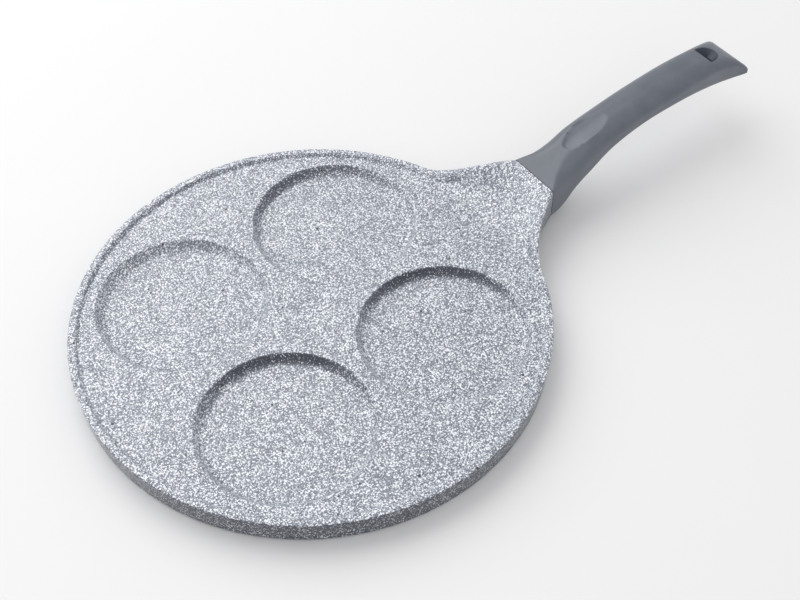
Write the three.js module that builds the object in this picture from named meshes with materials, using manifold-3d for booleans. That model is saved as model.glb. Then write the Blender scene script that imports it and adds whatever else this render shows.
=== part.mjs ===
// Pancake pan: a cast pan with four shallow wells, a steel base plate and a screwed-on plastic handle.
// Millimetres, +Z up. The origin is the middle of the base, on the hob, and the handle points along +X.

import * as THREE from "three";
import { mergeVertices } from "three/addons/utils/BufferGeometryUtils.js";
import Module from "manifold-3d";

const wasm = await Module();
wasm.setup();

// Pan: the wall, the lip round the cooking surface and the hollow underside
const RIM_RADIUS = 130.5;
const WALL_DRAFT = 1;
const PAN_HEIGHT = 17;
const RIM_ROUND = 0.8;
const FOOT_ROUND = 2.3;
const LIP_WIDTH = 3.4;
const LIP_HEIGHT = 1.8;
const LIP_RUN = 2.6;
const SKIRT_WIDTH = 7;
const SKIRT_LIFT = 0.6;
const PAD_MARGIN = 12.7;
const HOLLOW_DEPTH = 3.6;
const HOLLOW_DRAFT = 0.5;

// Wells: four round hollows with sloped walls, set between the handle's line and its square
const WELL_COUNT = 4;
const WELL_RADIUS = 47.6;
const WELL_MARGIN = 7.5;
const WELL_DEPTH = 5.2;
const WELL_WALL_RUN = 6;
const WELL_TOP_EASE = 1.2;
const WELL_FLOOR_EASE = 3.4;

// Base plate: a steel disc with rings of holes, each filled by a cast stud
const PLATE_RADIUS = 85;
const PLATE_THICKNESS = 1;
const PLATE_CLEARANCE = 0.3;
const PLATE_HOLE_RADIUS = 2.6;
const PLATE_HOLE_RINGS = [
  { inset: 13, count: 18 },
  { inset: 45, count: 10 },
];

// Neck: a scoop between two raised edges, which climb from the pan's rim to the handle
const NECK_REACH = 26.1;
const NECK_RISE = 12.9;
const NECK_END_DEPTH = 20.5;
const NECK_END_HALF_WIDTH = 17.1;
const NECK_END_SLANT = 36;
const NECK_END_PULL = 12;
const NECK_ROOT_ANGLE = 23.1;
const NECK_ROOT_PULL = 22;
const NECK_ROOT_BOTTOM = 3;
const NECK_EDGE_POWER = 2.3;
const NECK_LEAN = 2.5;
const NECK_ROUND = 1.5;
const SCOOP_MOUTH_RUN = 10;
const SCOOP_END_EDGE = 2;
const SCOOP_POWER = 1.45;
const SCOOP_RUNOUT = 0.3;

// Tang: the cast tongue inside the handle
const TANG_LENGTH = 34;
const TANG_WIDTH = 15;
const TANG_THICKNESS = 8;
const TANG_SLOPE = 19;
const TANG_ROOT = 8;
const TANG_CLEARANCE = 0.4;
const TANG_END_GAP = 1;

// Handle: its sections run from the neck to the tip. Each gives its share of the length, its crown and
// underside above those of the neck's end, half its width, and how far its corners go to a full ellipse.
const HANDLE_LENGTH = 157.4;
const HANDLE_GAP = 0.3;
const HANDLE_SECTIONS = [
  { along: 0, crown: 0, under: 0, half: NECK_END_HALF_WIDTH, round: 0 },
  { along: 0.07, crown: 4.4, under: -3.2, half: 15.8, round: 0.4 },
  { along: 0.136, crown: 9.5, under: 2.2, half: 14.9, round: 0.7 },
  { along: 0.214, crown: 15.3, under: 8.9, half: 13.7, round: 0.75 },
  { along: 0.325, crown: 18.4, under: 19.1, half: 13.1, round: 0.8 },
  { along: 0.485, crown: 21.8, under: 25.1, half: 12.8, round: 0.8 },
  { along: 0.68, crown: 24, under: 26.4, half: 12.9, round: 0.75 },
  { along: 0.84, crown: 23.5, under: 24.9, half: 12.4, round: 0.6 },
  { along: 0.945, crown: 18.5, under: 25.5, half: 13.8, round: 0.35 },
  { along: 1, crown: 11.7, under: 27.1, half: 16.3, round: 0.1 },
];

// Thumb rest: a shallow oval dish in the handle's crown
const THUMB_REST_AT = 36.9;
const THUMB_REST_LENGTH = 30.5;
const THUMB_REST_WIDTH = 14.5;
const THUMB_REST_DEPTH = 1.8;
const THUMB_REST_BOWL = 6;

// Hanging hole: flat towards the pan and round towards the tip
const HOLE_TO_TIP = 26.4;
const HOLE_LENGTH = 11.8;
const HOLE_WIDTH = 14.2;
const HOLE_CORNER = 1.5;

// Handle screw and its washers, put in from below
const SCREW_AT = 17.5;
const SCREW_RADIUS = 2.5;
const SCREW_CLEARANCE = 0.3;
const SCREW_TIP_MARGIN = 1;
const SCREW_SEAT_WALL = 3.5;
const HEAD_RADIUS = 4.6;
const HEAD_HEIGHT = 2.8;
const HEAD_ROUND = 1;
const CROSS_LENGTH = 5;
const CROSS_WIDTH = 1.2;
const CROSS_DEPTH = 1.6;
const WASHER_RADIUS = 5;
const WASHER_THICKNESS = 1;
const LOCK_WASHER_RADIUS = 4.5;
const LOCK_WASHER_THICKNESS = 1.2;
const LOCK_WASHER_SPLIT = 10;
const RECESS_CLEARANCE = 0.6;
const STACK_GAP = 0.3;

// Mesh fineness, and how far a cutter runs past the face that it opens
const PAN_SEGMENTS = 72;
const WELL_SEGMENTS = 36;
const CURVE_STEPS = 6;
const ROUND_STEPS = 1;
const SMALL_SEGMENTS = 20;
const HOLE_SEGMENTS = 8;
const BAR_SIDES = 24;
const NECK_RINGS = 14;
const HANDLE_RINGS = 32;
const CUT_PAST = 5;

// Heights and places that follow from the sizes above
const SURFACE_Z = PAN_HEIGHT - LIP_HEIGHT;
const LIP_RADIUS = RIM_RADIUS - LIP_WIDTH;
const WELL_RING_RADIUS = LIP_RADIUS - WELL_MARGIN - WELL_RADIUS;
const POCKET_Z = PLATE_THICKNESS + PLATE_CLEARANCE;
const POCKET_RADIUS = PLATE_RADIUS + PLATE_CLEARANCE;
const PAD_RADIUS = POCKET_RADIUS + PAD_MARGIN;
const NECK_END_X = RIM_RADIUS + NECK_REACH;
const NECK_END_TOP = PAN_HEIGHT + NECK_RISE;
const NECK_END_BOTTOM = NECK_END_TOP - NECK_END_DEPTH;
const HANDLE_X = NECK_END_X + HANDLE_GAP;
const TANG_Z = (NECK_END_TOP + NECK_END_BOTTOM) / 2;
const TANG_TILT = THREE.MathUtils.degToRad(TANG_SLOPE);
const SCREW_X = NECK_END_X + SCREW_AT;
const TANG_AT_SCREW_Z = TANG_Z + SCREW_AT * Math.tan(TANG_TILT);
const TANG_HALF_RISE = TANG_THICKNESS / 2 / Math.cos(TANG_TILT);
const SCREW_TIP_Z = TANG_AT_SCREW_Z + TANG_HALF_RISE - SCREW_TIP_MARGIN;
const SEAT_Z = TANG_AT_SCREW_Z - TANG_HALF_RISE - TANG_CLEARANCE - SCREW_SEAT_WALL;
const WASHER_TOP_Z = SEAT_Z - STACK_GAP;
const LOCK_WASHER_TOP_Z = WASHER_TOP_Z - WASHER_THICKNESS - STACK_GAP;
const HEAD_TOP_Z = LOCK_WASHER_TOP_Z - LOCK_WASHER_THICKNESS - STACK_GAP;

// Finishes
const coatedCasting = new THREE.MeshStandardMaterial({ color: 0xa9adb6, roughness: 0.55, metalness: 0.1 });
const softPlastic = new THREE.MeshStandardMaterial({ color: 0x6b7078, roughness: 0.65, metalness: 0 });
const plainSteel = new THREE.MeshStandardMaterial({ color: 0xb8babd, roughness: 0.35, metalness: 1 });
const platedSteel = new THREE.MeshStandardMaterial({ color: 0xc6c8cc, roughness: 0.3, metalness: 1 });

// A closed solid from a three.js geometry, with its shared corners merged
function solid(geometry) {
  geometry.deleteAttribute("normal");
  geometry.deleteAttribute("uv");
  const merged = mergeVertices(geometry);
  const corners = merged.index.array;
  const kept = [];
  for (let i = 0; i < corners.length; i += 3) {
    const [a, b, c] = corners.slice(i, i + 3);
    if (a !== b && b !== c && c !== a) {
      kept.push(a, b, c);
    }
  }
  const vertProperties = new Float32Array(merged.attributes.position.array);
  return new wasm.Manifold(new wasm.Mesh({ numProp: 3, vertProperties, triVerts: new Uint32Array(kept) }));
}

// A named mesh of a finished solid
function part(name, shape, material) {
  const { vertProperties, triVerts } = shape.getMesh();
  const geometry = new THREE.BufferGeometry();
  geometry.setAttribute("position", new THREE.BufferAttribute(vertProperties, 3));
  geometry.setIndex(new THREE.BufferAttribute(triVerts, 1));
  geometry.computeVertexNormals();
  const mesh = new THREE.Mesh(geometry, material);
  mesh.name = name;
  return mesh;
}

// A profile of radius and height turned about Z
function turned(profile, segments, divisions) {
  return new THREE.LatheGeometry(profile.getPoints(divisions), segments).rotateX(Math.PI / 2);
}

// An upright cylinder between two heights
function upright(radius, low, high, segments) {
  const cylinder = new THREE.CylinderGeometry(radius, radius, high - low, segments);
  return cylinder.rotateX(Math.PI / 2).translate(0, 0, (low + high) / 2);
}

// A bar along X whose section changes on the way: a cylinder's rings moved onto rounded rectangles
function barAlongX(sectionAt, rings) {
  const bar = new THREE.CylinderGeometry(1, 1, 1, BAR_SIDES, rings, false, Math.PI / BAR_SIDES);
  const position = bar.attributes.position;
  for (let i = 0; i < position.count; i += 1) {
    const { x, half, lowHalf, top, bottom, cornerY, cornerZ } = sectionAt(position.getY(i) + 0.5);
    const across = -position.getX(i);
    const rise = position.getZ(i);
    const reach = rise < 0 ? lowHalf : half;
    const y = Math.sign(across) * (reach - cornerY) + across * cornerY;
    const z = Math.sign(rise) * ((top - bottom) / 2 - cornerZ) + rise * cornerZ;
    position.setXYZ(i, x, y, (top + bottom) / 2 + z);
  }
  return bar;
}

// The points of the plate's holes, ring by ring
function plateHoles() {
  return PLATE_HOLE_RINGS.flatMap(({ inset, count }) =>
    Array.from({ length: count }, (_, i) => {
      const angle = (2 * Math.PI * i) / count;
      const radius = PLATE_RADIUS - inset;
      return [radius * Math.cos(angle), radius * Math.sin(angle)];
    }),
  );
}

// The tang's block, grown by a clearance: its root lies in the neck and it climbs with the handle
function tangBlock(clearance, endGap) {
  const length = TANG_ROOT + TANG_LENGTH + endGap;
  const block = new THREE.BoxGeometry(length, TANG_WIDTH + 2 * clearance, TANG_THICKNESS + 2 * clearance);
  return block
    .translate(length / 2 - TANG_ROOT, 0, 0)
    .rotateY(-TANG_TILT)
    .translate(NECK_END_X, 0, TANG_Z);
}

// The pan's round body with its lip, skirt, base pad and the plate's pocket
function discBody() {
  const footRadius = RIM_RADIUS - WALL_DRAFT;
  const skirtRadius = footRadius - SKIRT_WIDTH;
  const footZ = SKIRT_LIFT + FOOT_ROUND;
  const rimZ = PAN_HEIGHT - RIM_ROUND;
  const profile = new THREE.Path();
  profile.moveTo(0, POCKET_Z);
  profile.lineTo(POCKET_RADIUS, POCKET_Z);
  profile.lineTo(POCKET_RADIUS, 0);
  profile.lineTo(PAD_RADIUS, 0);
  profile.lineTo(PAD_RADIUS + HOLLOW_DRAFT, HOLLOW_DEPTH);
  profile.lineTo(skirtRadius - HOLLOW_DRAFT, HOLLOW_DEPTH);
  profile.lineTo(skirtRadius, SKIRT_LIFT);
  profile.absarc(footRadius - FOOT_ROUND, footZ, FOOT_ROUND, -Math.PI / 2, 0, false);
  profile.absarc(RIM_RADIUS - RIM_ROUND, rimZ, RIM_ROUND, 0, Math.PI / 2, false);
  const slope = LIP_RADIUS - LIP_RUN / 2;
  profile.lineTo(LIP_RADIUS, PAN_HEIGHT);
  profile.bezierCurveTo(slope, PAN_HEIGHT, slope, SURFACE_Z, LIP_RADIUS - LIP_RUN, SURFACE_Z);
  profile.lineTo(0, SURFACE_Z);
  return solid(turned(profile, PAN_SEGMENTS, ROUND_STEPS));
}

// The space of one well: a flat floor and an S-shaped wall that eases into the cooking surface
function wellSpace() {
  const floorRadius = WELL_RADIUS - WELL_WALL_RUN;
  const floorZ = SURFACE_Z - WELL_DEPTH;
  const profile = new THREE.Path();
  profile.moveTo(0, floorZ);
  profile.lineTo(floorRadius, floorZ);
  profile.bezierCurveTo(
    floorRadius + WELL_FLOOR_EASE, floorZ,
    WELL_RADIUS - WELL_TOP_EASE, SURFACE_Z,
    WELL_RADIUS, SURFACE_Z,
  );
  profile.lineTo(WELL_RADIUS, SURFACE_Z + CUT_PAST);
  profile.lineTo(0, SURFACE_Z + CUT_PAST);
  return turned(profile, WELL_SEGMENTS, CURVE_STEPS);
}

// The neck's flank in plan: it leaves the rim's circle smoothly and ends at the handle's width
function neckFlank() {
  const root = THREE.MathUtils.degToRad(NECK_ROOT_ANGLE);
  const slant = THREE.MathUtils.degToRad(NECK_END_SLANT);
  const start = new THREE.Vector2(RIM_RADIUS * Math.cos(root), RIM_RADIUS * Math.sin(root));
  const end = new THREE.Vector2(NECK_END_X, NECK_END_HALF_WIDTH);
  const leave = new THREE.Vector2(Math.sin(root), -Math.cos(root)).multiplyScalar(NECK_ROOT_PULL);
  const arrive = new THREE.Vector2(-Math.cos(slant), Math.sin(slant)).multiplyScalar(NECK_END_PULL);
  return new THREE.CubicBezierCurve(start, start.clone().add(leave), end.clone().add(arrive), end);
}

// The neck's place, width, edge height and climb at a share of its flank
function neckAt(share) {
  const flank = neckFlank();
  const rootX = flank.v0.x;
  const { x, y: half } = flank.getPoint(share);
  const climb = (x - rootX) / (NECK_END_X - rootX);
  const edge = THREE.MathUtils.lerp(NECK_END_TOP, PAN_HEIGHT, (1 - climb) ** NECK_EDGE_POWER);
  return { x, half, edge, climb };
}

function neckBar() {
  return barAlongX((share) => {
    const { x, half, edge, climb } = neckAt(share);
    return {
      x,
      half,
      lowHalf: half - NECK_LEAN * Math.sin(Math.PI * climb),
      top: edge,
      bottom: THREE.MathUtils.lerp(NECK_ROOT_BOTTOM, NECK_END_BOTTOM, climb),
      cornerY: NECK_ROUND,
      cornerZ: NECK_ROUND,
    };
  }, NECK_RINGS);
}

// The scoop between the neck's edges: level with the cooking surface at its mouth, run out at the handle
function scoopSpace() {
  return barAlongX((share) => {
    const { x, half, edge, climb } = neckAt(share);
    const low = THREE.MathUtils.lerp(SURFACE_Z, NECK_END_TOP + SCOOP_RUNOUT, climb ** SCOOP_POWER);
    const reach = half - THREE.MathUtils.lerp(LIP_WIDTH, SCOOP_END_EDGE, climb);
    const rise = Math.max(edge - low, SCOOP_RUNOUT);
    return {
      x: share > 0 ? x : x - SCOOP_MOUTH_RUN,
      half: reach,
      lowHalf: reach,
      top: low + 2 * rise + CUT_PAST,
      bottom: low,
      cornerY: reach,
      cornerZ: rise,
    };
  }, NECK_RINGS);
}

function panBody() {
  let body = discBody().add(solid(neckBar())).subtract(solid(scoopSpace())).add(solid(tangBlock(0, 0)));
  for (let i = 0; i < WELL_COUNT; i += 1) {
    const angle = (2 * Math.PI * (i + 0.5)) / WELL_COUNT;
    const x = WELL_RING_RADIUS * Math.cos(angle);
    const y = WELL_RING_RADIUS * Math.sin(angle);
    body = body.subtract(solid(wellSpace().translate(x, y, 0)));
  }
  for (const [x, y] of plateHoles()) {
    const stud = upright(PLATE_HOLE_RADIUS - PLATE_CLEARANCE, 0, POCKET_Z + PLATE_THICKNESS, HOLE_SEGMENTS);
    body = body.add(solid(stud.translate(x, y, 0)));
  }
  const holeTop = SCREW_TIP_Z + SCREW_CLEARANCE;
  const hole = upright(SCREW_RADIUS + SCREW_CLEARANCE, SEAT_Z, holeTop, SMALL_SEGMENTS);
  return body.subtract(solid(hole.translate(SCREW_X, 0, 0)));
}

function inductionPlate() {
  let plate = solid(upright(PLATE_RADIUS, 0, PLATE_THICKNESS, PAN_SEGMENTS));
  for (const [x, y] of plateHoles()) {
    const hole = upright(PLATE_HOLE_RADIUS, -CUT_PAST, CUT_PAST, HOLE_SEGMENTS);
    plate = plate.subtract(solid(hole.translate(x, y, 0)));
  }
  return plate;
}

// The handle's sections along its length, as smooth curves through the listed ones
const handleHeights = new THREE.CatmullRomCurve3(
  HANDLE_SECTIONS.map(({ along, crown, under }) => new THREE.Vector3(along, crown, under)),
  false, "catmullrom",
);
const handleWidths = new THREE.CatmullRomCurve3(
  HANDLE_SECTIONS.map(({ along, half, round }) => new THREE.Vector3(along, half, round)),
  false, "catmullrom",
);

function handleSection(share) {
  const { x: along, y: crown, z: under } = handleHeights.getPoint(share);
  const { y: half, z: round } = handleWidths.getPoint(share);
  const top = NECK_END_TOP + crown;
  const bottom = NECK_END_BOTTOM + under;
  return {
    x: HANDLE_X + along * HANDLE_LENGTH,
    half,
    lowHalf: half,
    top,
    bottom,
    cornerY: THREE.MathUtils.lerp(NECK_ROUND, half, round),
    cornerZ: THREE.MathUtils.lerp(NECK_ROUND, (top - bottom) / 2, round),
  };
}

// The handle's section at a distance from the neck, found by halving the range
function handleSectionAt(distance) {
  let low = 0;
  let high = 1;
  for (let i = 0; i < HANDLE_RINGS; i += 1) {
    const middle = (low + high) / 2;
    if (handleSection(middle).x < HANDLE_X + distance) {
      low = middle;
    } else {
      high = middle;
    }
  }
  return handleSection(low);
}

function thumbRestSpace() {
  const share = Math.sqrt(1 - (1 - THUMB_REST_DEPTH / THUMB_REST_BOWL) ** 2);
  const here = handleSectionAt(THUMB_REST_AT);
  const before = handleSectionAt(THUMB_REST_AT - THUMB_REST_LENGTH / 2);
  const after = handleSectionAt(THUMB_REST_AT + THUMB_REST_LENGTH / 2);
  const slope = Math.atan2(after.top - before.top, after.x - before.x);
  return new THREE.SphereGeometry(1, BAR_SIDES, SMALL_SEGMENTS)
    .scale(THUMB_REST_LENGTH / 2 / share, THUMB_REST_WIDTH / 2 / share, THUMB_REST_BOWL)
    .rotateY(-slope)
    .translate(here.x, 0, here.top + THUMB_REST_BOWL - THUMB_REST_DEPTH);
}

function hangingHoleSpace() {
  const flatX = HANDLE_X + HANDLE_LENGTH - HOLE_TO_TIP;
  const half = HOLE_WIDTH / 2;
  const outline = new THREE.Shape();
  outline.moveTo(flatX, -half + HOLE_CORNER);
  outline.quadraticCurveTo(flatX, -half, flatX + HOLE_CORNER, -half);
  outline.absellipse(flatX + HOLE_CORNER, 0, HOLE_LENGTH - HOLE_CORNER, half, -Math.PI / 2, Math.PI / 2);
  outline.quadraticCurveTo(flatX, half, flatX, half - HOLE_CORNER);
  const crown = Math.max(...HANDLE_SECTIONS.map((section) => section.crown));
  const depth = NECK_END_TOP + crown + CUT_PAST;
  return new THREE.ExtrudeGeometry(outline, { depth, bevelEnabled: false, curveSegments: CURVE_STEPS });
}

function handle() {
  const recessRadius = WASHER_RADIUS + RECESS_CLEARANCE;
  const shankRadius = SCREW_RADIUS + SCREW_CLEARANCE;
  const shankWay = upright(shankRadius, SEAT_Z - CUT_PAST, TANG_AT_SCREW_Z, SMALL_SEGMENTS);
  const recess = upright(recessRadius, 0, SEAT_Z, SMALL_SEGMENTS);
  return solid(barAlongX(handleSection, HANDLE_RINGS))
    .subtract(solid(tangBlock(TANG_CLEARANCE, TANG_END_GAP)))
    .subtract(solid(thumbRestSpace()))
    .subtract(solid(hangingHoleSpace()))
    .subtract(solid(shankWay.translate(SCREW_X, 0, 0)))
    .subtract(solid(recess.translate(SCREW_X, 0, 0)));
}

// A rounded head with a cross recess, and a plain shank above it
function handleScrew() {
  const headZ = HEAD_TOP_Z - HEAD_HEIGHT;
  const profile = new THREE.Path();
  profile.moveTo(0, headZ);
  profile.lineTo(HEAD_RADIUS - HEAD_ROUND, headZ);
  profile.absarc(HEAD_RADIUS - HEAD_ROUND, headZ + HEAD_ROUND, HEAD_ROUND, -Math.PI / 2, 0, false);
  profile.lineTo(HEAD_RADIUS, HEAD_TOP_Z);
  profile.lineTo(SCREW_RADIUS, HEAD_TOP_Z);
  profile.lineTo(SCREW_RADIUS, SCREW_TIP_Z);
  profile.lineTo(0, SCREW_TIP_Z);
  let screw = solid(turned(profile, SMALL_SEGMENTS, ROUND_STEPS));
  for (const turn of [0, Math.PI / 2]) {
    const slot = new THREE.BoxGeometry(CROSS_LENGTH, CROSS_WIDTH, 2 * CROSS_DEPTH).rotateZ(turn);
    screw = screw.subtract(solid(slot.translate(0, 0, headZ)));
  }
  return screw.translate([SCREW_X, 0, 0]);
}

// A ring round the screw's shank, below a height, open over an angle in degrees
function shankRing(radius, topZ, thickness, openAngle) {
  const inner = SCREW_RADIUS + SCREW_CLEARANCE;
  const open = THREE.MathUtils.degToRad(openAngle);
  let ring = solid(upright(radius, topZ - thickness, topZ, SMALL_SEGMENTS));
  ring = ring.subtract(solid(upright(inner, topZ - thickness - CUT_PAST, topZ + CUT_PAST, SMALL_SEGMENTS)));
  if (open > 0) {
    const split = new THREE.BoxGeometry(2 * radius, radius * open, 2 * thickness + CUT_PAST);
    ring = ring.subtract(solid(split.translate(radius, 0, topZ)));
  }
  return ring.translate([SCREW_X, 0, 0]);
}

const pancakePan = new THREE.Group();
pancakePan.add(
  part("pan_body", panBody(), coatedCasting),
  part("induction_plate", inductionPlate(), plainSteel),
  part("handle", handle(), softPlastic),
  part("handle_screw", handleScrew(), platedSteel),
  part("lock_washer", shankRing(LOCK_WASHER_RADIUS, LOCK_WASHER_TOP_Z, LOCK_WASHER_THICKNESS,
    LOCK_WASHER_SPLIT), platedSteel),
  part("flat_washer", shankRing(WASHER_RADIUS, WASHER_TOP_Z, WASHER_THICKNESS, 0), platedSteel),
);

export default pancakePan;
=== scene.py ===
"""Looks of a pancake pan: a coated casting, its base plate, a soft-touch handle and the handle's fastening.

Sizes in the classes are millimetres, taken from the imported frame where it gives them, and only the studio's
are metres. Each mesh is shaped in millimetres and scaled to metres when it is finished, in the frame's own
axes: +X along the handle, +Z up.
"""

import logging
import math
from bisect import bisect_left
from collections.abc import Callable, Sequence
from dataclasses import dataclass, field
from enum import Enum
from functools import cached_property

import bmesh
import bpy
from bmesh.types import BMEdge, BMesh, BMFace, BMVert
from mathutils import Matrix, Vector
from mathutils.geometry import interpolate_bezier


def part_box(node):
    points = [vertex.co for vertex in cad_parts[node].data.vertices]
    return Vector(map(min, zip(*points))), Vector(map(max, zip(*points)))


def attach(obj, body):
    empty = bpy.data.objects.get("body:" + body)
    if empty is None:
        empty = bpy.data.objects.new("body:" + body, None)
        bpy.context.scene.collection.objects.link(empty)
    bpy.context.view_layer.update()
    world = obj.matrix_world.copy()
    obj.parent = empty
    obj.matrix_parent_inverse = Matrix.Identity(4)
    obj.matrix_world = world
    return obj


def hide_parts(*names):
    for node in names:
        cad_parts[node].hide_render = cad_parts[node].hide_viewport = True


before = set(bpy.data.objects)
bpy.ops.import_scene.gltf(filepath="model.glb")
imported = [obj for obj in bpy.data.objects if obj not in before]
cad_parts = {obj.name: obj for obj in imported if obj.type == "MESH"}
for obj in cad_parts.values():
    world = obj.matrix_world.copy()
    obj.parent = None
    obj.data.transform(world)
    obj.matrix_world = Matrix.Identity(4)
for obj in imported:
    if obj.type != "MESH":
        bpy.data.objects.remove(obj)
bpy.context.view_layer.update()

MM = 0.001
BODY = "root"
MERGE_DISTANCE = 0.002
SHARP_ANGLE = math.radians(38)
QUARTER = math.pi / 2
TURN = 2 * math.pi
CORNER_PULL = 0.45
LEAST_CORNER = 0.1
NOISE_MIDDLE = 0.5
TILT = (0.62, 0.41, 0.23)
UP = Vector((0, 0, 1))
ALONG = Vector((1, 0, 0))
ACROSS = Vector((0, 1, 0))

Point = tuple[float, float]
Place = Callable[[int, int], Vector]
Ring = list[BMVert]

log = logging.getLogger("pancake_pan")


class Slot(Enum):
    """The record's material slots."""

    COAT = "coated_casting"
    STEEL = "base_steel"
    PLASTIC = "soft_plastic"
    ZINC = "plated_steel"


class Side(Enum):
    """Which face of the handle a feature opens in."""

    CROWN = 1
    UNDER = -1


def node_box(node: str) -> tuple[Vector, Vector]:
    """Gives a CAD node's lowest and highest corners in millimetres."""
    low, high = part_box(node)
    return low / MM, high / MM


def lerp(low: float, high: float, share: float) -> float:
    """Gives the value at a share of the way from low to high."""
    return low + (high - low) * share


def clamp(share: float) -> float:
    """Keeps a share between 0 and 1."""
    return min(1.0, max(0.0, share))


def ease(share: float) -> float:
    """Gives an S-shaped share that starts and ends level."""
    share = clamp(share)
    return share * share * (3 - 2 * share)


def steps(count: int) -> list[float]:
    """Gives count shares that end at 1 and leave out 0."""
    return [(i + 1) / count for i in range(count)]


def quarter_drop(distance: float, radius: float) -> float:
    """Gives how far a rounded edge has fallen at a distance in from its outline.

    Args:
        distance: the distance in from the outline.
        radius: the edge's radius.

    Returns:
        The fall below the unrounded face.
    """
    inward = clamp(distance / radius) if radius > 0 else 1.0
    return radius * (1 - math.sqrt(1 - (1 - inward) ** 2))


def through(points: Sequence[Vector], share: float) -> Vector:
    """Gives a point of the smooth curve through a row of points.

    Args:
        points: the points, in order.
        share: how far along the row, from 0 to 1.

    Returns:
        The point on the curve.
    """
    place = share * (len(points) - 1)
    first = min(int(place), len(points) - 2)
    part = place - first
    start, end = points[first], points[first + 1]
    before = points[first - 1] if first > 0 else start * 2 - end
    after = points[first + 2] if first + 2 < len(points) else end * 2 - start
    leave, arrive = (end - before) / 2, (after - start) / 2
    bend = (end - start) * 3 - leave * 2 - arrive
    twist = (start - end) * 2 + leave + arrive
    return start + (leave + (bend + twist * part) * part) * part


def rounded(corners: Sequence[tuple[float, float, float]], divisions: int) -> list[Point]:
    """Rounds the inner corners of an open path.

    Args:
        corners: first coordinate, second coordinate and radius of each corner, in order.
        divisions: how many steps each rounding has.

    Returns:
        The path's points.
    """
    path = [Vector(corner[:2]) for corner in corners]
    points = [tuple(path[0])]
    for index in range(1, len(path) - 1):
        here, radius = path[index], corners[index][2]
        back = (path[index - 1] - here).normalized()
        ahead = (path[index + 1] - here).normalized()
        if radius <= 0:
            points.append(tuple(here))
            continue
        cut = radius / math.tan(back.angle(ahead) / 2)
        pull = cut * CORNER_PULL
        start, end = here + back * cut, here + ahead * cut
        bend = interpolate_bezier(start, here + back * pull, here + ahead * pull, end, divisions + 1)
        points += [(point.x, point.y) for point in bend]
    return points + [tuple(path[-1])]


def tube(bm: BMesh, rows: int, columns: int, place: Place) -> list[Ring]:
    """Joins two sides of a grid into an open tube and moves each vertex to its place.

    Args:
        bm: the mesh that gets the tube.
        rows: how many rings of vertices it has.
        columns: how many vertices go round.
        place: gives the place of a vertex from its row and column.

    Returns:
        The rings of vertices, row by row.
    """
    made = bmesh.ops.create_grid(bm, x_segments=columns, y_segments=rows - 1, size=1)["verts"]
    rings: list[Ring] = [[None] * (columns + 1) for _ in range(rows)]
    for vert in made:
        row = round((vert.co.y + 1) / 2 * (rows - 1))
        column = round((vert.co.x + 1) / 2 * columns)
        rings[row][column] = vert
    bmesh.ops.weld_verts(bm, targetmap={ring.pop(): ring[0] for ring in rings})
    for row, ring in enumerate(rings):
        for column, vert in enumerate(ring):
            vert.co = place(row, column)
    return rings


def turned(bm: BMesh, profile: Sequence[Point], columns: int, centre: Point = (0, 0)) -> list[Ring]:
    """Spins a profile of radius and height about an upright axis.

    Args:
        bm: the mesh that gets the shape.
        profile: the radius and height of each point, in order.
        columns: how many copies go round.
        centre: where the axis stands.

    Returns:
        The rings of vertices, point by point.
    """
    def place(row: int, column: int) -> Vector:
        """Gives a vertex's place on the turned surface.

        Args:
            row: which point of the profile it is on.
            column: where it is round the axis.

        Returns:
            The place.
        """
        radius, height = profile[row]
        angle = TURN * column / columns
        return Vector((centre[0] + radius * math.cos(angle), centre[1] + radius * math.sin(angle), height))

    return tube(bm, len(profile), columns, place)


def loop(bm: BMesh, ring: Ring) -> list[BMEdge]:
    """Gives the edges round a ring of vertices."""
    return [bm.edges.get(pair) for pair in zip(ring, ring[1:] + ring[:1])]


def cap(bm: BMesh, ring: Ring) -> None:
    """Closes a ring of vertices with one face."""
    bmesh.ops.edgeloop_fill(bm, edges=loop(bm, ring))


def finished(bm: BMesh, name: str) -> bpy.types.Object:
    """Turns a mesh in millimetres into an object in metres, smooth but for its sharp edges.

    Args:
        bm: the mesh, which is used up.
        name: the piece's name.

    Returns:
        The new object.
    """
    bmesh.ops.remove_doubles(bm, verts=bm.verts, dist=MERGE_DISTANCE)
    bmesh.ops.recalc_face_normals(bm, faces=bm.faces)
    bmesh.ops.scale(bm, vec=(MM, MM, MM), verts=bm.verts)
    for face in bm.faces:
        face.smooth = True
    mesh = bpy.data.meshes.new(name)
    bm.to_mesh(mesh)
    bm.free()
    mesh.set_sharp_from_angle(angle=SHARP_ANGLE)
    piece = bpy.data.objects.new(name, mesh)
    bpy.context.scene.collection.objects.link(piece)
    return piece


def dress(piece: bpy.types.Object, material: bpy.types.Material, slot: Slot, node: str) -> None:
    """Gives a piece its finish and puts it in a CAD node's place.

    Args:
        piece: the new piece.
        material: its finish.
        slot: not used.
        node: the CAD node that the piece stands for.
    """
    piece.data.materials.append(material)
    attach(piece, BODY)
    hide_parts(node)
    log.info("%s: %d faces, for %s", piece.name, len(piece.data.polygons), node)


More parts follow.
